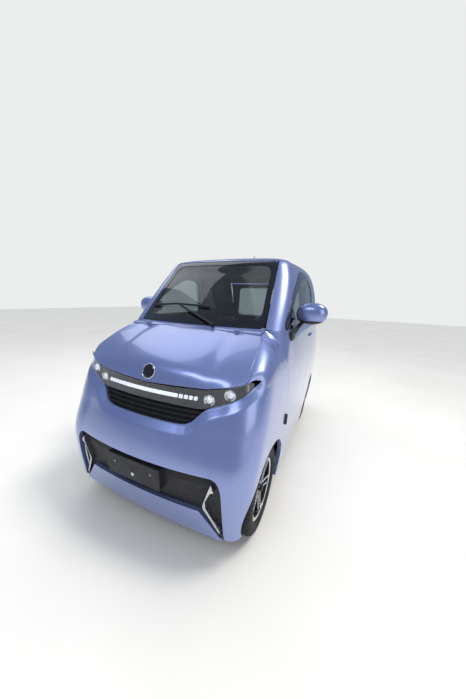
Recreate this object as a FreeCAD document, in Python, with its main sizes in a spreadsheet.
import FreeCAD, Part
import math
import os
import re
from types import SimpleNamespace

# Microcar: two seats, four wheels. Lengths in millimetres, angles in degrees.
# The front faces -Y, the driver's side (left) is +X, +Z is up.
# The origin is under the middle of the car, on the ground.

V = FreeCAD.Vector
doc = FreeCAD.newDocument("microcar")
sheet = doc.addObject("Spreadsheet::Sheet", "sizes")

# Driving sizes
SIZES = (
    ("wheelbase", 1570),
    ("front_axle_y", -805),
    ("tyre_radius", 254),
    ("tyre_width", 145),
    ("tyre_outer_x", 592),
    ("tyre_shoulder", 26),
    ("rim_radius", 167),
    ("rim_width", 118),
    ("rim_wall", 6),
    ("rim_lip", 12),
    ("rim_face_depth", 9),
    ("spoke_pairs", 5),
    ("spoke_width", 17),
    ("spoke_spread", 17),
    ("spoke_depth", 16),
    ("hub_radius", 34),
    ("hub_length", 40),
    ("stub_radius", 14),
    ("stub_nut_radius", 20),
    ("stub_nut_length", 8),
    ("drum_radius", 92),
    ("drum_depth", 34),
    ("pin_play", 0.3),
    ("wall", 42),
    ("seam", 0.5),
    ("seat_gap", 0.3),
    ("door_gap", 7),
    ("glass_depth", 4),
    ("glass_thickness", 5),
    ("front_arch_radius", 292),
    ("rear_arch_radius", 276),
    ("arch_inner_x", 296),
    ("rear_arch_inner_x", 410),
    ("liner_thickness", 4),
    ("corner_fullness", 0.19),
    ("flank_mid_y", 200),
    ("kingpin_low_x", 452),
    ("kingpin_low_z", 165),
    ("kingpin_top_x", 352),
    ("kingpin_top_z", 700),
    ("kingpin_radius", 10),
    ("strut_radius", 22),
    ("knuckle_low", 40),
    ("knuckle_high", 190),
    ("pin_length", 26),
    ("floor_z", 200),
    ("floor_thickness", 34),
    ("floor_half_width", 520),
    ("sill_height", 90),
    ("sill_width", 60),
    ("firewall_y", -500),
    ("panel_thickness", 20),
    ("plenum_z", 985),
    ("rail_inner_x", 225),
    ("rail_width", 60),
    ("rail_height", 80),
    ("step_to_motor", 88.7),
    ("rear_floor_z", 520),
    ("rear_wall_y", 1110),
    ("battery_width", 860),
    ("battery_to_step", 80),
    ("battery_length", 440),
    ("motor_width", 280),
    ("motor_length", 190),
    ("motor_low_z", 235),
    ("axle_tube_radius", 26),
    ("rear_strut_x", 380),
    ("trailing_arm_width", 44),
    ("trailing_arm_height", 40),
    ("hood_half_width", 485),
    ("hood_rear_y", -682),
    ("hood_hinge_x", 330),
    ("door_hinge_x", 624),
    ("door_front_y", -560),
    ("door_rear_y", 420),
    ("door_low_z", 330),
    ("door_low_corner_z", 545),
    ("door_high_corner_z", 905),
    ("hinge_radius", 8),
    ("hinge_pin_radius", 4),
    ("hinge_height", 56),
    ("hinge_reach", 46),
    ("upper_hinge_z", 850),
    ("lower_hinge_z", 640),
    ("window_frame", 48),
    ("window_low_z", 1142),
    ("tailgate_half_width", 452),
    ("tailgate_low_z", 610),
    ("tailgate_top_z", 1470),
    ("tailgate_hinge_y", 1034),
    ("tailgate_hinge_z", 1477),
    ("tailgate_hinge_x", 300),
    ("roof_seam_x", 412),
    ("bumper_seam_y", -945),
    ("bumper_wing_z", 900),
    ("grille_recess", 24),
    ("hood_hinge_radius", 6),
    ("hood_pin_radius", 3),
    ("rear_bumper_y", 985),
    ("seat_x", 262),
    ("seat_width", 420),
    ("seat_to_step", 100),
    ("seat_length", 470),
    ("seat_z", 450),
    ("seat_cushion", 130),
    ("seat_back_height", 620),
    ("seat_back_depth", 120),
    ("seat_back_lean", 14),
    ("headrest_width", 250),
    ("headrest_height", 170),
    ("headrest_depth", 90),
    ("dash_half_width", 490),
    ("dash_low_z", 730),
    ("dash_top_z", 985),
    ("dash_depth", 210),
    ("column_lean", 24),
    ("column_radius", 24),
    ("column_length", 190),
    ("steering_wheel_x", 262),
    ("steering_wheel_y", -165),
    ("steering_wheel_z", 945),
    ("steering_wheel_radius", 178),
    ("steering_rim_radius", 14),
    ("steering_hub_radius", 62),
    ("steering_hub_depth", 40),
    ("mirror_x", 668),
    ("mirror_y", -255),
    ("mirror_z", 1200),
    ("mirror_width", 172),
    ("mirror_height", 132),
    ("mirror_depth", 120),
    ("mirror_arm_radius", 17),
    ("mirror_foot_y", -400),
    ("mirror_foot_z", 1085),
    ("mirror_block_x", 492),
    ("emblem_radius", 33),
    ("emblem_depth", 14),
    ("emblem_z", 928),
    ("plate_half_width", 172),
    ("plate_low_z", 372),
    ("plate_height", 122),
    ("plate_depth", 14),
    ("lens_radius", 27),
    ("lens_length", 26),
    ("wiper_pivot_x", 150),
    ("wiper_radius", 7),
    ("antenna_x", 163),
    ("antenna_y", -30),
    ("antenna_height", 24),
    ("antenna_radius", 3),
)

# Body sections, seen from above: one closed outline at each height.
# Columns: name, height z, drop of the inner skin per unit of wall, nose y at the middle,
# front corner x and y, front end of the flank x and y, widest x, rear end of the flank x and y,
# rear corner x and y, tail y at the middle.
LOWER = (
    ("lip", 150, 0, -1150, 470, -1128, 585, -1040, 604, 596, 1040, 470, 1160, 1178),
    ("bumper", 460, 0, -1206, 455, -1160, 602, -1040, 630, 622, 1040, 480, 1190, 1210),
    ("ledge", 700, 0, -1140, 425, -1090, 606, -950, 634, 624, 1030, 480, 1180, 1200),
    ("lamp", 870, 0, -1066, 405, -1030, 596, -870, 626, 616, 1020, 475, 1160, 1184),
    ("belt", 1120, 1, -1000, 370, -960, 540, -760, 588, 566, 975, 455, 1105, 1140),
)
UPPER = (
    ("base", 1120, 1, -655, 441, -596, 0, -470, 588, 566, 975, 455, 1105, 1140),
    ("window", 1300, 0.1, -480, 430, -425, 538, -300, 572, 548, 930, 440, 1062, 1100),
    ("rail", 1450, 0.3, -332, 416, -280, 498, -160, 534, 508, 880, 410, 1006, 1046),
    ("eave", 1548, 0.8, -222, 392, -178, 440, -60, 462, 440, 826, 350, 930, 976),
    ("crown", 1600, 1.0, 20, 180, 40, 250, 120, 268, 250, 640, 180, 720, 740),
)
COLUMNS = ("z", "drop", "nose", "front_x", "front_y", "flank_front_x", "flank_front_y",
           "wide_x", "flank_rear_x", "flank_rear_y", "rear_x", "rear_y", "tail")

# Outlines seen from the side (y, z), from the front (x, z) or from behind (x, z)
HOOD_LINE = ((-1075, 905), (-1028, 960), (-860, 1045), (-655, 1119))
DOOR_TOP = ((460, 1120), (400, 1400), (270, 1490), (20, 1494), (-290, 1330), (-498, 1150))
QUARTER_WINDOW = ((520, 1165), (500, 1380), (700, 1370), (820, 1165))
WINDSCREEN = ((455, 1126), (402, 1540))
REAR_WINDOW = ((392, 1090), (350, 1420))
LAMP = ((0, 800), (300, 800), (400, 820), (500, 868), (556, 920), (566, 962), (500, 934), (430, 905), (330, 884),
        (0, 870))
INTAKE = ((280, 712), (330, 800))
GRILLE = ((455, 516), (478, 440), (486, 150))
LIP = ((363, 305), (470, 165))
TRIM = ((425, 482), (441, 448), (422, 436), (398, 380), (398, 336), (472, 200), (462, 196), (384, 330), (384, 350))
LENSES = ((345, 847), (440, 873))
TAIL_LAMP = ((466, 860), (466, 1060), (660, 1090), (660, 900))


def write_sheet():
    """Puts every driving size in its own named cell."""
    rows = list(SIZES)
    for table in (LOWER, UPPER):
        for section in table:
            for column, value in zip(COLUMNS, section[1:]):
                rows.append((section[0] + "_" + column, value))
    for row, (name, value) in enumerate(rows, 1):
        sheet.set("A%d" % row, name)
        sheet.set("B%d" % row, str(value))
        sheet.setAlias("B%d" % row, name)
    doc.recompute()
    return SimpleNamespace(**{name: float(sheet.get(name)) for name, value in rows})


car = write_sheet()
rear_axle_y = car.front_axle_y + car.wheelbase
rear_step_y = rear_axle_y - car.axle_tube_radius - car.seat_gap - car.motor_length - car.step_to_motor
OUTSIDE = 3000.0


# Body volume
def bulged_arc(start, end, fullness, centre):
    """An arc from start to end that bulges away from the centre by a share of its chord."""
    chord = end.sub(start)
    middle = start.add(end).multiply(0.5)
    normal = V(chord.y, -chord.x, 0).normalize()
    if normal.dot(middle.sub(centre)) < 0:
        normal = normal.negative()
    return Part.Arc(start, middle.add(normal.multiply(chord.Length * fullness)), end).toShape()


def section_of(name):
    """The values of one section by the names of their columns."""
    return SimpleNamespace(**{column: getattr(car, name + "_" + column) for column in COLUMNS})


def flank_x(sec, inset, y):
    """Where the flank arc of a section lies at a place along the car."""
    points = ((sec.flank_front_x - inset, sec.flank_front_y + inset), (sec.wide_x - inset, car.flank_mid_y),
              (sec.flank_rear_x - inset, sec.flank_rear_y - inset))
    circle = Part.Arc(*[V(a, b, 0) for a, b in points]).toShape().Curve
    return circle.Center.x + math.sqrt(circle.Radius ** 2 - (y - circle.Center.y) ** 2)


def outline(name, inset):
    """The closed plan outline of one section, moved inwards by the inset."""
    sec = section_of(name)
    if name == "base":
        sec.flank_front_x = flank_x(section_of("belt"), inset, sec.flank_front_y + inset) + inset
    z = sec.z - sec.drop * inset
    nose = V(0, sec.nose + inset, z)
    tail = V(0, sec.tail - inset, z)
    centre = V(0, 0, z)

    def pair(x, y):
        return V(x, y, z), V(-x, y, z)

    front, front_r = pair(sec.front_x - inset, sec.front_y + inset)
    begin, begin_r = pair(sec.flank_front_x - inset, sec.flank_front_y + inset)
    wide, wide_r = pair(sec.wide_x - inset, car.flank_mid_y)
    end, end_r = pair(sec.flank_rear_x - inset, sec.flank_rear_y - inset)
    rear, rear_r = pair(sec.rear_x - inset, sec.rear_y - inset)
    edges = [
        Part.Arc(front_r, nose, front).toShape(),
        bulged_arc(front, begin, car.corner_fullness, centre),
        Part.Arc(begin, wide, end).toShape(),
        bulged_arc(end, rear, car.corner_fullness, centre),
        Part.Arc(rear, tail, rear_r).toShape(),
        bulged_arc(rear_r, end_r, car.corner_fullness, centre),
        Part.Arc(end_r, wide_r, begin_r).toShape(),
        bulged_arc(begin_r, front_r, car.corner_fullness, centre),
    ]
    return Part.Wire(edges)


def prism_x(points, x0, x1):
    """A side-view outline (y, z) carried from x0 to x1."""
    corners = [V(x0, y, z) for y, z in points]
    face = Part.Face(Part.makePolygon(corners + corners[:1]))
    return face.extrude(V(x1 - x0, 0, 0))


def prism_y(points, y0, y1):
    """A front-view outline (x, z) carried from y0 to y1."""
    corners = [V(x, y0, z) for x, z in points]
    face = Part.Face(Part.makePolygon(corners + corners[:1]))
    return face.extrude(V(0, y1 - y0, 0))


def box(x0, x1, y0, y1, z0, z1):
    """A block given by its limits."""
    return Part.makeBox(x1 - x0, y1 - y0, z1 - z0, V(x0, y0, z0))


def both_sides(points):
    """An outline of the left half, closed with its mirror image."""
    return list(points) + [(-x, z) for x, z in reversed(points) if x > 0]


def hood_profile(inset):
    """Everything below the hood line and everything behind it, as a side-view slab."""
    line = [V(-OUTSIDE, y, z - inset) for y, z in HOOD_LINE]
    first, knee, middle, last = [V(-OUTSIDE, p.y + inset * 0.4, p.z) for p in line]
    low = -OUTSIDE
    edges = [
        Part.makeLine(V(-OUTSIDE, first.y - 300, low), V(-OUTSIDE, first.y - 300, first.z - 60)),
        Part.makeLine(V(-OUTSIDE, first.y - 300, first.z - 60), first),
        Part.makeLine(first, knee),
        Part.Arc(knee, middle, last).toShape(),
        Part.makeLine(last, V(-OUTSIDE, last.y, OUTSIDE)),
        Part.makeLine(V(-OUTSIDE, last.y, OUTSIDE), V(-OUTSIDE, OUTSIDE, OUTSIDE)),
        Part.makeLine(V(-OUTSIDE, OUTSIDE, OUTSIDE), V(-OUTSIDE, OUTSIDE, low)),
        Part.makeLine(V(-OUTSIDE, OUTSIDE, low), V(-OUTSIDE, first.y - 300, low)),
    ]
    return Part.Face(Part.Wire(edges)).extrude(V(2 * OUTSIDE, 0, 0))


forms = {}


def volume(inset):
    """The closed body form, all its skins moved inwards by the inset."""
    if inset in forms:
        return forms[inset]
    lower = [outline(section[0], inset) for section in LOWER]
    if inset > 0:
        foot = lower[0].copy()
        foot.translate(V(0, 0, -200))
        lower.insert(0, foot)
    below = Part.makeLoft(lower, True, True).common(hood_profile(inset))
    above = Part.makeLoft([outline(section[0], inset) for section in UPPER], True, True)
    forms[inset] = below.fuse(above)
    return forms[inset]


def bound(text):
    """An expression of size names, as the sheet's own cells."""
    return re.sub(r"[a-z][a-z_]*", lambda word: "sizes." + word.group(0), text)


def block(name, x, y, z):
    """A box between three pairs of limits, each an expression of size names."""
    obj = doc.addObject("Part::Box", name)
    for side, axis, (low, high) in (("Length", "x", x), ("Width", "y", y), ("Height", "z", z)):
        obj.setExpression(side, bound("(%s) - (%s)" % (high, low)))
        obj.setExpression(".Placement.Base." + axis, bound(low))
    return obj


def rod(name, axis, radius, place, length):
    """A cylinder along X, Y or Z: its radius, base point and length are expressions."""
    obj = doc.addObject("Part::Cylinder", name)
    obj.Placement.Rotation = FreeCAD.Rotation(V(0, 0, 1), axis)
    obj.setExpression("Radius", bound(radius))
    obj.setExpression("Height", bound(length))
    for letter, text in zip("xyz", place):
        obj.setExpression(".Placement.Base." + letter, bound(text))
    return obj


def fuse(name, pieces):
    """One solid of several pieces that touch or overlap."""
    obj = doc.addObject("Part::MultiFuse", name)
    obj.Shapes = pieces
    return obj


def cut(name, base, tool):
    """The base with the tool's room taken out of it."""
    obj = doc.addObject("Part::Cut", name)
    obj.Base = base
    obj.Tool = tool
    return obj


def common(name, base, tool):
    """What the base and the tool share."""
    obj = doc.addObject("Part::Common", name)
    obj.Base = base
    obj.Tool = tool
    return obj


def feature(name, shape):
    """A piece whose form is worked out by this file's own functions."""
    obj = doc.addObject("Part::Feature", name)
    obj.Shape = shape
    return obj


nodes = {}


def node(label, obj):
    """Names a finished sub-part and puts it on the list of files."""
    obj.Label = label
    nodes[label] = obj
    return obj


def mirrored(shape):
    """The same shape on the other side of the car."""
    return shape.mirror(V(0, 0, 0), V(1, 0, 0))


def cylinder_x(radius, y, z, x0, x1):
    return Part.makeCylinder(radius, x1 - x0, V(x0, y, z), V(1, 0, 0))


def cylinder_z(radius, x, y, z0, z1):
    return Part.makeCylinder(radius, z1 - z0, V(x, y, z0))


def strand(start, end, radius):
    """A round rod from one point to another."""
    return Part.makeCylinder(radius, end.sub(start).Length, start, end.sub(start))


# Body shell, cut into its panels
outer = volume(0)
inner = volume(car.wall)
fit_room = volume(car.wall + car.seat_gap)
shell = outer.cut(inner)
arches = []
for axle_y, radius, inside in ((car.front_axle_y, car.front_arch_radius, car.arch_inner_x),
                               (rear_axle_y, car.rear_arch_radius, car.rear_arch_inner_x)):
    for x0, x1 in ((inside, OUTSIDE), (-OUTSIDE, -inside)):
        arches.append(cylinder_x(radius, axle_y, car.tyre_radius, x0, x1))
arch_room = Part.makeCompound(arches)
shell = shell.cut(arch_room)


def skin(outside, inside):
    """A thin skin of the body between two insets."""
    return volume(outside).cut(volume(inside))


def skin_point(start, direction):
    """The first point of the body that a line from outside meets."""
    line = Part.makeLine(start, start.add(direction.multiply(OUTSIDE)))
    hits = outer.common(line)
    return min((v.Point for v in hits.Vertexes), key=lambda p: p.sub(start).Length)


def front_skin(x, z):
    return skin_point(V(x, -OUTSIDE / 2, z), V(0, 1, 0)).y


def side_skin(y, z):
    return skin_point(V(OUTSIDE / 2, y, z), V(-1, 0, 0)).x


def top_skin(x, y):
    return skin_point(V(x, y, OUTSIDE / 1.5), V(0, 0, -1)).z


def grown(points, distance):
    """An outline moved outwards, or inwards where the distance is negative."""
    corners = [V(a, b, 0) for a, b in points]
    face = Part.Face(Part.makePolygon(corners + corners[:1]))
    wire = face.makeOffset2D(distance, 2).Wires[0]
    return [(v.X, v.Y) for v in wire.OrderedVertexes]


door_outline = ((car.door_front_y, car.door_high_corner_z), (car.door_front_y, car.door_low_corner_z),
                (car.door_front_y + 82, car.door_low_z), (car.door_rear_y - 50, car.door_low_z),
                (car.door_rear_y, car.door_low_z + 110)) + DOOR_TOP
door_opening = prism_x(door_outline, car.arch_inner_x, OUTSIDE)
door_slab = prism_x(grown(door_outline, -car.door_gap), car.arch_inner_x, OUTSIDE)
window_slab = prism_x(grown(door_outline, -car.door_gap - car.window_frame), car.arch_inner_x, OUTSIDE)
window_slab = window_slab.common(box(0, OUTSIDE, -OUTSIDE, OUTSIDE, car.window_low_z, OUTSIDE))
quarter_slab = prism_x(QUARTER_WINDOW, car.arch_inner_x, OUTSIDE)
windscreen_slab = prism_y(both_sides(WINDSCREEN), -OUTSIDE, 100)
rear_window_slab = prism_y(both_sides(REAR_WINDOW), 700, OUTSIDE)
half = car.tailgate_half_width
tailgate_outline = both_sides(((half, car.tailgate_low_z), (half, car.tailgate_top_z)))
tailgate_opening = prism_y(tailgate_outline, 700, OUTSIDE)
tailgate_slab = prism_y(grown(tailgate_outline, -car.door_gap), 700, OUTSIDE)
lamp_slab = prism_y(both_sides(LAMP), -OUTSIDE, -850)
lamp_gap_slab = prism_y(grown(both_sides(LAMP), car.door_gap), -OUTSIDE, -850)
intake_slab = prism_y(both_sides(INTAKE), -OUTSIDE, -900)
grille_slab = prism_y(both_sides(GRILLE), -OUTSIDE, -900)
trim_slab = prism_y(TRIM, -OUTSIDE, -900)
lip_slab = prism_y([(-LIP[0][0], LIP[0][1])] + list(LIP) + [(LIP[1][0] + 8, 140), (-LIP[1][0] - 8, 140),
                   (-LIP[1][0], LIP[1][1])], -OUTSIDE, -900)
tail_lamp_slab = prism_y(TAIL_LAMP, 960, OUTSIDE)
hood_slab = box(-car.hood_half_width, car.hood_half_width, -OUTSIDE, car.hood_rear_y, 850, OUTSIDE)
hood_slab = hood_slab.cut(lamp_gap_slab)
hood_room = box(-car.hood_half_width - car.door_gap, car.hood_half_width + car.door_gap,
                -OUTSIDE, car.hood_rear_y + car.door_gap, 830, OUTSIDE)
roof_slab = box(-car.roof_seam_x, car.roof_seam_x, -OUTSIDE, OUTSIDE, car.tailgate_top_z, OUTSIDE)


def plan_slab(points, z0, z1):
    """An outline seen from above (x, y), carried from z0 to z1."""
    corners = [V(x, y, z0) for x, y in points]
    return Part.Face(Part.makePolygon(corners + corners[:1])).extrude(V(0, 0, z1 - z0))


# The front clip ends at the doors and, above, along the feet of the windscreen pillars
pillar_foot = ((455, car.hood_rear_y + car.door_gap), (600, car.door_front_y + 20))
clip_plan = [(0, -OUTSIDE), (OUTSIDE, -OUTSIDE), (OUTSIDE, car.door_front_y), (pillar_foot[1][0], car.door_front_y),
             pillar_foot[0], (0, pillar_foot[0][1])]
left_clip = plan_slab(clip_plan, -OUTSIDE, OUTSIDE)
clip = left_clip.fuse(mirrored(left_clip))
doors_room = door_opening.fuse(mirrored(door_opening))
front = shell.common(clip).cut(doors_room)
front_panels = front.cut(hood_room).cut(lamp_slab).cut(intake_slab).cut(grille_slab)
ahead = box(-OUTSIDE, OUTSIDE, -OUTSIDE, car.bumper_seam_y, -OUTSIDE, car.bumper_wing_z)
wings = front_panels.cut(box(-OUTSIDE, OUTSIDE, -OUTSIDE, car.bumper_seam_y + car.seam, -OUTSIDE,
                             car.bumper_wing_z + car.seam))
bumper = front_panels.common(ahead)


def only(shape, low_x, least_volume=2000.0):
    """The solids of a shape whose middle lies beyond low_x, crumbs left out."""
    solids = [s for s in shape.Solids if s.CenterOfMass.x > low_x and s.Volume > least_volume]
    return solids[0] if len(solids) == 1 else Part.makeCompound(solids)


# Door hinges: a fixed barrel with its pin on the wing, a turning barrel on the door
hinge_x = car.door_hinge_x
hinge_y = car.door_front_y + car.door_gap / 2
fixed_hinges = []
door_hinges = []
fixed_rooms = []
door_rooms = []
for z in (car.upper_hinge_z, car.lower_hinge_z):
    low = z - car.hinge_height / 2
    high = z + car.hinge_height / 2
    x0 = hinge_x - 3 * car.hinge_radius
    x1 = hinge_x + car.hinge_radius
    reach = car.hinge_reach
    edge = car.hinge_radius / 4
    fixed_hinges += [cylinder_z(car.hinge_radius, hinge_x, hinge_y, low, z - 0.5),
                     cylinder_z(car.hinge_pin_radius, hinge_x, hinge_y, low, high),
                     box(x0, x1, hinge_y - reach, hinge_y - edge, low, z - 0.5)]
    door_hinges += [cylinder_z(car.hinge_radius, hinge_x, hinge_y, z + 0.5, high),
                    box(x0, x1, hinge_y + edge, hinge_y + reach, z + 0.5, high)]
    fixed_rooms.append(cylinder_z(car.hinge_radius + 1, hinge_x, hinge_y, low - 1, z + 0.5))
    door_rooms.append(cylinder_z(car.hinge_radius + 1, hinge_x, hinge_y, z - 0.5, high + 1))
pins = Part.makeCompound([cylinder_z(car.hinge_pin_radius + car.pin_play, hinge_x, hinge_y, 0, OUTSIDE)])

wing_left = only(wings, 0).cut(Part.makeCompound(door_rooms)).fuse(fixed_hinges)
node("front_wing_left", feature("wing_left", wing_left))
node("front_wing_right", feature("wing_right", mirrored(wing_left)))
node("front_bumper", feature("bumper", bumper))

door_panel = only(shell.common(door_slab).cut(window_slab), 0).cut(Part.makeCompound(fixed_rooms))
mirror_block = box(car.mirror_block_x, car.mirror_block_x + car.wall, car.mirror_foot_y - 3 * car.wall,
                   car.mirror_foot_y + car.wall / 2, car.mirror_foot_z - 30, car.mirror_foot_z + 14)
door_left = door_panel.fuse(door_hinges + [mirror_block.common(door_slab)]).cut(pins)
node("door_left", feature("door_panel_left", door_left))
node("door_right", feature("door_panel_right", mirrored(door_left)))
glass_skin = skin(car.glass_depth, car.glass_depth + car.glass_thickness)
door_glass = only(glass_skin.common(window_slab), 0)
node("door_glass_left", feature("window_left", door_glass))
node("door_glass_right", feature("window_right", mirrored(door_glass)))

# Hood, with its hinge barrels at the windscreen
hood_hinge_z = top_skin(car.hood_hinge_x, car.hood_rear_y) + car.hinge_radius
hood_hinge_y = car.hood_rear_y + car.door_gap / 2
hood = only(shell.common(hood_slab), -OUTSIDE)
hood_barrels = []
cowl_barrels = []
hood_pins = []
for side in (1, -1):
    middle = side * car.hood_hinge_x
    x0, x1 = sorted((middle, middle + side * car.hinge_height / 2))
    hood_barrels += [cylinder_x(car.hood_hinge_radius, hood_hinge_y, hood_hinge_z, x0 + 0.5, x1),
                     box(x0 + 0.5, x1, hood_hinge_y - 22, hood_hinge_y - 2, hood_hinge_z - 40, hood_hinge_z + 1)]
    y0, y1 = sorted((middle, middle - side * car.hinge_height / 2))
    cowl_barrels += [cylinder_x(car.hood_hinge_radius, hood_hinge_y, hood_hinge_z, y0, y1 - 0.5),
                     box(y0, y1 - 0.5, hood_hinge_y + 2, hood_hinge_y + 18, hood_hinge_z - 40, hood_hinge_z + 1)]
    low, high = min(x0, y0), max(x1, y1)
    cowl_barrels.append(cylinder_x(car.hood_pin_radius, hood_hinge_y, hood_hinge_z, low, high))
    hood_pins.append(cylinder_x(car.hood_pin_radius + car.pin_play, hood_hinge_y, hood_hinge_z, low - 5, high + 5))
hood = hood.fuse(hood_barrels).cut(Part.makeCompound(hood_pins))
node("hood", feature("hood_panel", hood))
emblem_y = front_skin(0, car.emblem_z)
lean = math.radians(35)
normal = V(0, -math.cos(lean), math.sin(lean))
emblem_back = V(0, emblem_y, car.emblem_z).sub(FreeCAD.Vector(normal).multiply(car.emblem_depth))
emblem = Part.makeCylinder(car.emblem_radius, 2 * car.emblem_depth - 4, emblem_back, normal).cut(outer)
node("emblem", feature("emblem_disc", emblem))

# Rear part of the shell: roof, side frames with the pillars, cowl, rear bumper, tailgate
rear = shell.cut(clip).cut(doors_room).cut(windscreen_slab).cut(tailgate_opening)
cowl_half = pillar_foot[0][0]
cowl_room = box(-cowl_half, cowl_half, -OUTSIDE, car.firewall_y, -OUTSIDE, WINDSCREEN[0][1])
cowl = rear.common(cowl_room).fuse(cowl_barrels)
node("cowl_panel", feature("cowl", cowl))
roof = rear.common(roof_slab)
rear_bumper_room = box(-OUTSIDE, OUTSIDE, car.rear_bumper_y, OUTSIDE, -OUTSIDE, car.tailgate_low_z)
rear_bumper = rear.common(rear_bumper_room)
node("rear_bumper", feature("bumper_rear", rear_bumper))
seam = car.seam
frames = rear.cut(box(-cowl_half - seam, cowl_half + seam, -OUTSIDE, car.firewall_y, -OUTSIDE, WINDSCREEN[0][1]))
frames = frames.cut(box(-car.roof_seam_x - seam, car.roof_seam_x + seam, -OUTSIDE, OUTSIDE,
                        car.tailgate_top_z - seam, OUTSIDE))
frames = frames.cut(box(-OUTSIDE, OUTSIDE, car.rear_bumper_y - seam, OUTSIDE, -OUTSIDE, car.tailgate_low_z + seam))
frames = frames.cut(quarter_slab).cut(mirrored(quarter_slab))
side_frame = only(frames.cut(tail_lamp_slab), 0)
node("side_frame_left", feature("frame_left", side_frame))
node("side_frame_right", feature("frame_right", mirrored(side_frame)))
quarter = only(glass_skin.common(quarter_slab), 0)
node("quarter_glasses", feature("quarter_panes", Part.makeCompound([quarter, mirrored(quarter)])))
lamp_rear = only(skin(2, car.wall).common(tail_lamp_slab), 0)
node("tail_lamps", feature("rear_lamps", Part.makeCompound([lamp_rear, mirrored(lamp_rear)])))
node("windscreen", feature("front_glass", glass_skin.common(windscreen_slab)))

tailgate_hinge = V(0, car.tailgate_hinge_y, car.tailgate_hinge_z)
gate_barrels = []
roof_barrels = []
gate_pins = []
for side in (1, -1):
    middle = side * car.tailgate_hinge_x
    x0, x1 = sorted((middle, middle + side * car.hinge_height / 2))
    y, z, r = tailgate_hinge.y, tailgate_hinge.z, car.hinge_radius
    gate_barrels += [cylinder_x(r, y, z, x0 + 0.5, x1),
                     box(x0 + 0.5, x1, y - r + 1, y + r, z - 40, z - 2),
                     box(x0 + 0.5, x1, y - 50, y + r, z - 44, z - 20)]
    r0, r1 = sorted((middle, middle - side * car.hinge_height / 2))
    roof_barrels += [cylinder_x(r, y, z, r0, r1 - 0.5), box(r0, r1 - 0.5, y - 60, y + 1, z + 1, z + r)]
    low, high = min(x0, r0), max(x1, r1)
    roof_barrels.append(cylinder_x(car.hinge_pin_radius, y, z, low, high))
    gate_pins.append(cylinder_x(car.hinge_pin_radius + car.pin_play, y, z, low - 5, high + 5))
node("roof_panel", feature("roof", roof.fuse(roof_barrels)))
tailgate = shell.common(tailgate_slab).cut(rear_window_slab).fuse(gate_barrels).cut(Part.makeCompound(gate_pins))
node("tailgate", feature("tailgate_panel", tailgate))
node("rear_glass", feature("rear_pane", glass_skin.common(rear_window_slab)))

# Lamps, grille and trim of the nose
lamp_bar = skin(2, car.wall).common(lamp_slab)
lens_rooms = []
lenses = []
for x, z in LENSES:
    for side in (1, -1):
        y = front_skin(side * x, z) + 3
        lens_rooms.append(Part.makeCylinder(car.lens_radius + car.seat_gap, OUTSIDE, V(side * x, y - OUTSIDE
                                            + car.lens_length, z), V(0, 1, 0)))
        lenses.append(Part.makeCylinder(car.lens_radius, car.lens_length - car.seat_gap, V(side * x, y, z), V(0, 1, 0)))
lamp_bar = lamp_bar.cut(Part.makeCompound(lens_rooms))
node("lamp_bar", feature("lamp_housing", lamp_bar))
node("lamp_lenses", feature("lenses", Part.makeCompound(lenses)))
recess = car.grille_recess
behind_grille = volume(recess)
grille = skin(recess, car.wall).common(grille_slab).cut(arch_room)
intake = skin(recess, car.wall).common(intake_slab).cut(arch_room)
node("lower_grille", feature("grille", grille))
node("upper_intake", feature("intake", intake))
face_skin = outer.cut(volume(recess - car.seat_gap))
node("front_lip", feature("lip", face_skin.common(lip_slab)))
trim = skin(2, recess - car.seat_gap).common(trim_slab)
node("grille_trims", feature("trims", Part.makeCompound([trim, mirrored(trim)])))
plate = box(-car.plate_half_width, car.plate_half_width, car.bumper_nose - 4, car.bumper_nose + 120,
            car.plate_low_z, car.plate_low_z + car.plate_height)
node("plate_holder", feature("holder", plate.cut(volume(recess - car.seat_gap))))

# Chassis: floor, firewall, rails and luggage floor, trimmed to the room inside the shell
room = feature("inside_room", fit_room.cut(arch_room))
motor_rear = "front_axle_y + wheelbase - axle_tube_radius - seat_gap"
rear_step = motor_rear + " - motor_length - step_to_motor"
rear_y = rear_step + " + panel_thickness"
both = ("-floor_half_width", "floor_half_width")
wide = ("-tailgate_half_width - wall", "tailgate_half_width + wall")
chassis_pieces = [
    block("floor", both, ("firewall_y", rear_y), ("floor_z", "floor_z + floor_thickness")),
    block("firewall", both, ("firewall_y", "firewall_y + panel_thickness"), ("floor_z", "plenum_z + panel_thickness")),
    block("plenum", ("-hood_half_width", "hood_half_width"), ("hood_rear_y + door_gap", "firewall_y + panel_thickness"),
          ("plenum_z", "plenum_z + panel_thickness")),
    block("plenum_front", ("-hood_half_width + sill_width", "hood_half_width - sill_width"),
          ("hood_rear_y + door_gap", "hood_rear_y + door_gap + panel_thickness"),
          ("plenum_z", "plenum_z + 4 * panel_thickness + 60")),
    block("rear_step", both, (rear_step, rear_y), ("floor_z", "rear_floor_z + panel_thickness")),
    block("luggage_floor", ("-tyre_outer_x", "tyre_outer_x"), (rear_step, "rear_wall_y"),
          ("rear_floor_z", "rear_floor_z + panel_thickness")),
    block("nose_member", ("-rail_inner_x - rail_width", "rail_inner_x + rail_width"),
          ("front_axle_y - front_arch_radius - rail_width", "front_axle_y - front_arch_radius"),
          ("tyre_radius", "tyre_radius + rail_height")),
    block("tail_member", ("-rail_inner_x - rail_width", "rail_inner_x + rail_width"),
          ("rear_wall_y - rail_width", "rear_wall_y"), ("rear_floor_z - 2 * rail_height", "rear_floor_z")),
]
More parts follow.
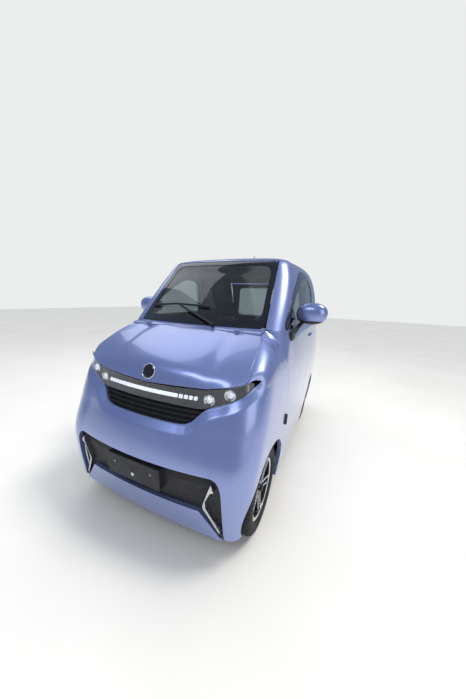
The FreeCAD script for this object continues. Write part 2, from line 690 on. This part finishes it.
for side, name in ((1, "left"), (-1, "right")):
    def across(low, high):
        """A pair of limits on this side of the car."""
        if side > 0:
            return low, high
        return "-(%s)" % high, "-(%s)" % low

    rail = across("rail_inner_x", "rail_inner_x + rail_width")
    tower = ("front_axle_y - rail_width", "front_axle_y + rail_width")
    tower_z = "kingpin_top_z + panel_thickness"
    chassis_pieces += [
        block("sill_" + name, across("floor_half_width - sill_width", "tyre_outer_x"),
              ("firewall_y + panel_thickness / 2", rear_step), ("floor_z", "floor_z + sill_height")),
        block("front_rail_" + name, rail, ("bumper_nose", "firewall_y + panel_thickness"),
              ("tyre_radius", "tyre_radius + rail_height")),
        block("tower_leg_" + name, rail, tower, ("tyre_radius", tower_z)),
        block("tower_top_" + name, across("rail_inner_x", "kingpin_top_x + 3 * strut_radius"), tower,
              ("kingpin_top_z", tower_z)),
        block("rear_rail_" + name, rail, (rear_y, "bumper_tail"), ("rear_floor_z - rail_height", "rear_floor_z")),
    ]
node("chassis", common("chassis_trimmed", fuse("chassis_frame", chassis_pieces), room))

# Wheel housings inside the arches
kingpin_low = V(car.kingpin_low_x, car.front_axle_y, car.kingpin_low_z)
kingpin_top = V(car.kingpin_top_x, car.front_axle_y, car.kingpin_top_z)
kingpin_axis = kingpin_top.sub(kingpin_low).normalize()


def on_kingpin(distance):
    """The point on the steering axis at a distance above its lower joint."""
    return kingpin_low.add(FreeCAD.Vector(kingpin_axis).multiply(distance))


housings = []
strut_room = strand(kingpin_low, kingpin_top, car.strut_radius + car.door_gap)
for axle_y, radius, inside in ((car.front_axle_y, car.front_arch_radius, car.arch_inner_x),
                               (rear_axle_y, car.rear_arch_radius, car.rear_arch_inner_x)):
    outer_r = radius + car.liner_thickness
    ring = cylinder_x(outer_r, axle_y, car.tyre_radius, inside - car.liner_thickness, car.tyre_outer_x)
    ring = ring.cut(cylinder_x(radius, axle_y, car.tyre_radius, inside, OUTSIDE))
    ring = ring.common(box(0, OUTSIDE, -OUTSIDE, OUTSIDE, car.tyre_radius + car.rail_height, OUTSIDE))
    ring = ring.common(fit_room).cut(strut_room)
    housings.append(ring)
housing_shape = Part.makeCompound(housings + [mirrored(h) for h in housings])
housing_room = feature("housings", housing_shape)
node("wheel_housings", cut("housings_fitted", housing_room, nodes["chassis"]))

# Steering knuckles and the front suspension that carries them
knuckle = strand(on_kingpin(car.knuckle_low), on_kingpin(car.knuckle_high), car.strut_radius)
pin_ends = strand(on_kingpin(-car.pin_length / 2), on_kingpin(car.knuckle_high + car.pin_length), car.kingpin_radius)
stub_x = kingpin_low.x + (kingpin_top.x - kingpin_low.x) * (car.tyre_radius - kingpin_low.z) / (
    kingpin_top.z - kingpin_low.z)
wheel_middle_x = car.tyre_outer_x - car.tyre_width / 2
face_x = wheel_middle_x + car.rim_width / 2 - car.rim_face_depth
hub_outer_x = face_x + 3
drum_x = face_x - car.hub_length - car.door_gap - car.drum_depth


def stub_axle(start_x, axle_y):
    """The stub, its nut and the brake drum at its root, for a left wheel."""
    stub = cylinder_x(car.stub_radius, axle_y, car.tyre_radius, start_x, hub_outer_x + car.stub_nut_length)
    nut = cylinder_x(car.stub_nut_radius, axle_y, car.tyre_radius, hub_outer_x + car.seat_gap,
                     hub_outer_x + car.stub_nut_length)
    drum = cylinder_x(car.drum_radius, axle_y, car.tyre_radius, drum_x, drum_x + car.drum_depth)
    return [stub, nut, drum]


knuckle_left = knuckle.fuse([pin_ends] + stub_axle(stub_x, car.front_axle_y))
node("knuckle_left", feature("carrier_left", knuckle_left))
node("knuckle_right", feature("carrier_right", mirrored(knuckle_left)))

bore = strand(on_kingpin(-OUTSIDE), on_kingpin(OUTSIDE), car.kingpin_radius + car.pin_play)
ball = strand(on_kingpin(-car.pin_length / 2), on_kingpin(car.pin_length / 2), car.strut_radius)
arm_half = car.strut_radius * 0.8
arm = box(0, car.kingpin_low_x, car.front_axle_y - arm_half, car.front_axle_y + arm_half,
          car.kingpin_low_z - arm_half / 2, car.kingpin_low_z + arm_half / 2)
member_x = car.rail_inner_x + car.rail_width
member = box(-member_x, member_x, car.front_axle_y - car.rail_width, car.front_axle_y + car.rail_width,
             car.kingpin_low_z - arm_half, car.tyre_radius - car.seat_gap)
arms = arm.fuse(ball).cut(bore)
strut_foot = car.knuckle_high + car.door_gap
strut = strand(on_kingpin(strut_foot), on_kingpin(OUTSIDE), car.strut_radius)
strut = strut.cut(strand(on_kingpin(strut_foot - 1), on_kingpin(car.knuckle_high + car.pin_length + 2),
                         car.kingpin_radius + car.pin_play))
strut = strut.common(box(0, OUTSIDE, -OUTSIDE, OUTSIDE, 0, car.kingpin_top_z - car.seat_gap))
subframe = member.fuse([arms, mirrored(arms)])
node("front_suspension", feature("suspension_front", Part.makeCompound([subframe, strut, mirrored(strut)])))

# Rear axle: a tube with trailing arms and struts, a drum and a stub at each end
tube = cylinder_x(car.axle_tube_radius, rear_axle_y, car.tyre_radius, -drum_x - 1, drum_x + 1)
axle_parts = stub_axle(0, rear_axle_y)
arm_x = car.rear_strut_x
arm_w = car.trailing_arm_width / 2
axle_parts.append(box(arm_x - arm_w, arm_x + arm_w, rear_step_y + car.panel_thickness + car.seat_gap, rear_axle_y,
                      car.tyre_radius - car.trailing_arm_height / 2, car.tyre_radius + car.trailing_arm_height / 2))
axle_parts.append(cylinder_z(car.strut_radius, arm_x, rear_axle_y, car.tyre_radius,
                             car.rear_floor_z - car.seat_gap))
axle = tube.fuse(axle_parts + [mirrored(piece) for piece in axle_parts])
node("rear_axle", feature("axle_rear", axle))

# Heavy masses: drive motor ahead of the axle, battery under the seats
node("motor", block("motor_block", ("-motor_width / 2", "motor_width / 2"), (motor_rear + " - motor_length", motor_rear),
                    ("motor_low_z", "rear_floor_z - seat_gap")))
battery_top = "seat_z - seat_gap"
node("battery", block("battery_block", ("-battery_width / 2", "battery_width / 2"),
                      (rear_step + " - battery_to_step - battery_length", rear_step + " - battery_to_step"),
                      ("floor_z + floor_thickness + seat_gap", battery_top)))

# Wheels
tyre_half = car.tyre_width / 2
seat_half = car.rim_width / 2 - car.rim_lip / 2
over_lip = car.rim_radius + car.rim_lip + 1
side_r = (over_lip + car.tyre_radius) / 2


def tyre_shape():
    """The tyre ring about Z: a step at the rim's lips, two sloping sidewalls, shoulders and a flat tread."""
    half_profile = ((car.rim_radius, seat_half), (over_lip, seat_half), (side_r, tyre_half),
                    (car.tyre_radius, tyre_half - car.tyre_shoulder))
    corners = [V(r, 0, z) for r, z in half_profile] + [V(r, 0, -z) for r, z in reversed(half_profile)]
    return Part.Face(Part.makePolygon(corners + corners[:1])).revolve(V(0, 0, 0), V(0, 0, 1), 360)


def rim(name):
    """A cast wheel about Z, outboard side up: barrel, two lips, hub and pairs of spokes."""
    half = "rim_width / 2"
    axis = V(0, 0, 1)
    zero = "0 * rim_width"
    barrel = rod(name + "_barrel", axis, "rim_radius", (zero, zero, "-" + half), "rim_width")
    lips = [rod(name + "_lip_in", axis, "rim_radius + rim_lip", (zero, zero, "-" + half), "rim_lip / 2"),
            rod(name + "_lip_out", axis, "rim_radius + rim_lip", (zero, zero, half + " - rim_lip / 2"), "rim_lip / 2")]
    inside = rod(name + "_inside", axis, "rim_radius - rim_wall", (zero, zero, "-rim_width"), "2 * rim_width")
    drum = cut(name + "_drum", fuse(name + "_ring", [barrel] + lips), inside)
    face = half + " - rim_face_depth"
    hub = rod(name + "_hub", axis, "hub_radius", (zero, zero, face + " - hub_length"), "hub_length + 3")
    spokes = []
    pairs = int(round(car.spoke_pairs))
    for pair in range(pairs):
        turn = FreeCAD.Rotation(axis, 360.0 * pair / pairs + 90)
        for side in (1, -1):
            spoke = doc.addObject("Part::Box", name + "_spoke")
            spoke.setExpression("Length", bound("rim_radius - rim_wall / 2 - hub_radius / 2"))
            spoke.setExpression("Width", bound("spoke_width"))
            spoke.setExpression("Height", bound("spoke_depth"))
            corner = V(car.hub_radius / 2, side * car.spoke_spread - car.spoke_width / 2,
                       car.rim_width / 2 - car.rim_face_depth - car.spoke_depth)
            spoke.Placement = FreeCAD.Placement(turn.multVec(corner), turn)
            spokes.append(spoke)
    whole = fuse(name + "_cast", [drum, hub] + spokes)
    hole = rod(name + "_bore", axis, "stub_radius + pin_play", (zero, zero, "-rim_width"), "2 * rim_width")
    return cut(name + "_wheel", whole, hole)


tyre_form = tyre_shape()
for place, side, axle_y in (("front_left", 1, car.front_axle_y), ("front_right", -1, car.front_axle_y),
                            ("rear_left", 1, rear_axle_y), ("rear_right", -1, rear_axle_y)):
    seat = FreeCAD.Placement(V(side * wheel_middle_x, axle_y, car.tyre_radius),
                             FreeCAD.Rotation(V(0, 0, 1), V(side, 0, 0)))
    wheel = rim("rim_" + place)
    wheel.Placement = seat
    node("rim_" + place, wheel)
    tyre = feature("tyre_ring_" + place, tyre_form)
    tyre.Placement = seat
    node("tyre_" + place, tyre)

# Cabin: dashboard with the steering column, steering wheel, two seats
dash_back = car.firewall_y + car.panel_thickness + car.seat_gap
dash_profile = ((dash_back, car.dash_low_z), (dash_back, car.dash_top_z), (dash_back + car.dash_depth * 0.8, car.dash_top_z),
                (dash_back + car.dash_depth, car.dash_top_z - 40), (dash_back + car.dash_depth * 0.9, 820),
                (dash_back + car.dash_depth * 0.4, car.dash_low_z))
lean = math.radians(car.column_lean)
to_driver = V(0, math.cos(lean), math.sin(lean))
wheel_centre = V(car.steering_wheel_x, car.steering_wheel_y, car.steering_wheel_z)


def on_column(distance):
    """The point on the steering column at a distance ahead of the wheel's plane."""
    return wheel_centre.sub(FreeCAD.Vector(to_driver).multiply(distance))


column = strand(on_column(car.steering_hub_depth + 6), on_column(car.column_length), car.column_radius)
column_pin = strand(on_column(10), on_column(car.steering_hub_depth + 7), car.kingpin_radius)
dash = prism_x(dash_profile, -car.dash_half_width, car.dash_half_width).fuse([column, column_pin])
node("dashboard", feature("dash", dash))
ring = Part.makeTorus(car.steering_wheel_radius, car.steering_rim_radius, wheel_centre, to_driver)
hub = strand(wheel_centre, on_column(car.steering_hub_depth), car.steering_hub_radius)
spokes = []
for turn in (0, 180, 270):
    spoke = Part.makeBox(car.steering_wheel_radius, 34, 12, V(0, -17, -18))
    spoke.rotate(V(0, 0, 0), V(0, 0, 1), turn)
    spoke.Placement = FreeCAD.Placement(wheel_centre, FreeCAD.Rotation(V(0, 0, 1), to_driver)).multiply(
        spoke.Placement)
    spokes.append(spoke)
socket = strand(on_column(9), on_column(OUTSIDE), car.kingpin_radius + car.pin_play)
node("steering_wheel", feature("wheel_of_driver", ring.fuse([hub] + spokes).cut(socket)))


def seat_shape(x):
    """Cushion, leaning back and headrest of one seat, as one closed solid."""
    half_w = car.seat_width / 2
    y1 = rear_step_y - car.seat_to_step
    y0 = y1 - car.seat_length
    cushion = box(x - half_w, x + half_w, y0, y1, car.seat_z, car.seat_z + car.seat_cushion)
    back = box(-half_w, half_w, -car.seat_back_depth, 0, 0, car.seat_back_height)
    post = car.headrest_width / 2
    rest = box(-post, post, -car.headrest_depth, 0, car.seat_back_height - 1,
               car.seat_back_height + car.headrest_height)
    upper = back.fuse(rest)
    upper.rotate(V(0, 0, 0), V(1, 0, 0), -car.seat_back_lean)
    upper.translate(V(x, y1 - 30, car.seat_z + 32))
    return cushion.fuse(upper)


for side, name in ((1, "left"), (-1, "right")):
    node("seat_" + name, feature("seat_form_" + name, seat_shape(side * car.seat_x)))

# Mirrors on the doors: rounded outlines at a depth from the middle, each a share of the full one
MIRROR_SECTIONS = ((-0.5, 0.34), (-0.38, 0.68), (-0.1, 0.94), (0.5, 1.0))


def mirror_outline(depth, share):
    """An oblong with round ends, as wide and high as its share says."""
    y = depth * car.mirror_depth
    high = share * car.mirror_height / 2
    run = share * car.mirror_width / 2 - high
    edges = [Part.makeLine(V(-run, y, -high), V(run, y, -high)),
             Part.Arc(V(run, y, -high), V(run + high, y, 0), V(run, y, high)).toShape(),
             Part.makeLine(V(run, y, high), V(-run, y, high)),
             Part.Arc(V(-run, y, high), V(-run - high, y, 0), V(-run, y, -high)).toShape()]
    return Part.Wire(edges)


foot = V(side_skin(car.mirror_foot_y, car.mirror_foot_z), car.mirror_foot_y, car.mirror_foot_z)
mirror_middle = V(car.mirror_x, car.mirror_y, car.mirror_z)
mirror_housing = Part.makeLoft([mirror_outline(*row) for row in MIRROR_SECTIONS], True, True)
mirror_housing.translate(mirror_middle)
inward = V(foot.x - 20, foot.y, foot.z)
arm = strand(inward, V(car.mirror_x - 40, car.mirror_y + 30, car.mirror_z - 30), car.mirror_arm_radius)
mirror = mirror_housing.fuse(arm.cut(outer))
node("mirror_left", feature("mirror_form_left", mirror))
node("mirror_right", feature("mirror_form_right", mirrored(mirror)))

# Wiper and antenna
def on_glass(x, z, lift):
    """A point in front of the windscreen."""
    return V(x, front_skin(x, z) - lift, z)


r = car.wiper_radius
pivot = on_glass(car.wiper_pivot_x, 1124, 0)
arm_end = on_glass(-170, 1244, 3 * r)
wiper = strand(pivot, pivot.add(V(0, -3 * r, 3 * r)), 1.6 * r)
wiper = wiper.fuse([strand(pivot.add(V(0, -2 * r, 2 * r)), arm_end, r),
                    strand(on_glass(-406, 1226, 1.5 * r), arm_end, r),
                    strand(arm_end, on_glass(69, 1235, 1.5 * r), r)]).cut(outer)
node("wiper", feature("wiper_arm", wiper))
mast_x = car.antenna_x
mast_foot = V(mast_x, car.antenna_y, top_skin(mast_x, car.antenna_y))
mast_top = V(mast_x, car.antenna_y + car.antenna_height, 1599)
mast = strand(V(mast_x, mast_foot.y - 20, mast_foot.z - 15), mast_top, car.antenna_radius)
node("antenna", feature("aerial", mast.cut(outer)))

doc.recompute()
for obj in doc.Objects:
    if "Invalid" in obj.State or "Error" in obj.State:
        raise RuntimeError("failed: " + obj.Name)
for label, obj in nodes.items():
    if obj.Shape.isNull() or not obj.Shape.isValid() or not obj.Shape.Solids:
        raise RuntimeError("bad shape: " + label)
os.makedirs("parts", exist_ok=True)
for label, obj in nodes.items():
    obj.Shape.exportStep("parts/" + label + ".step")
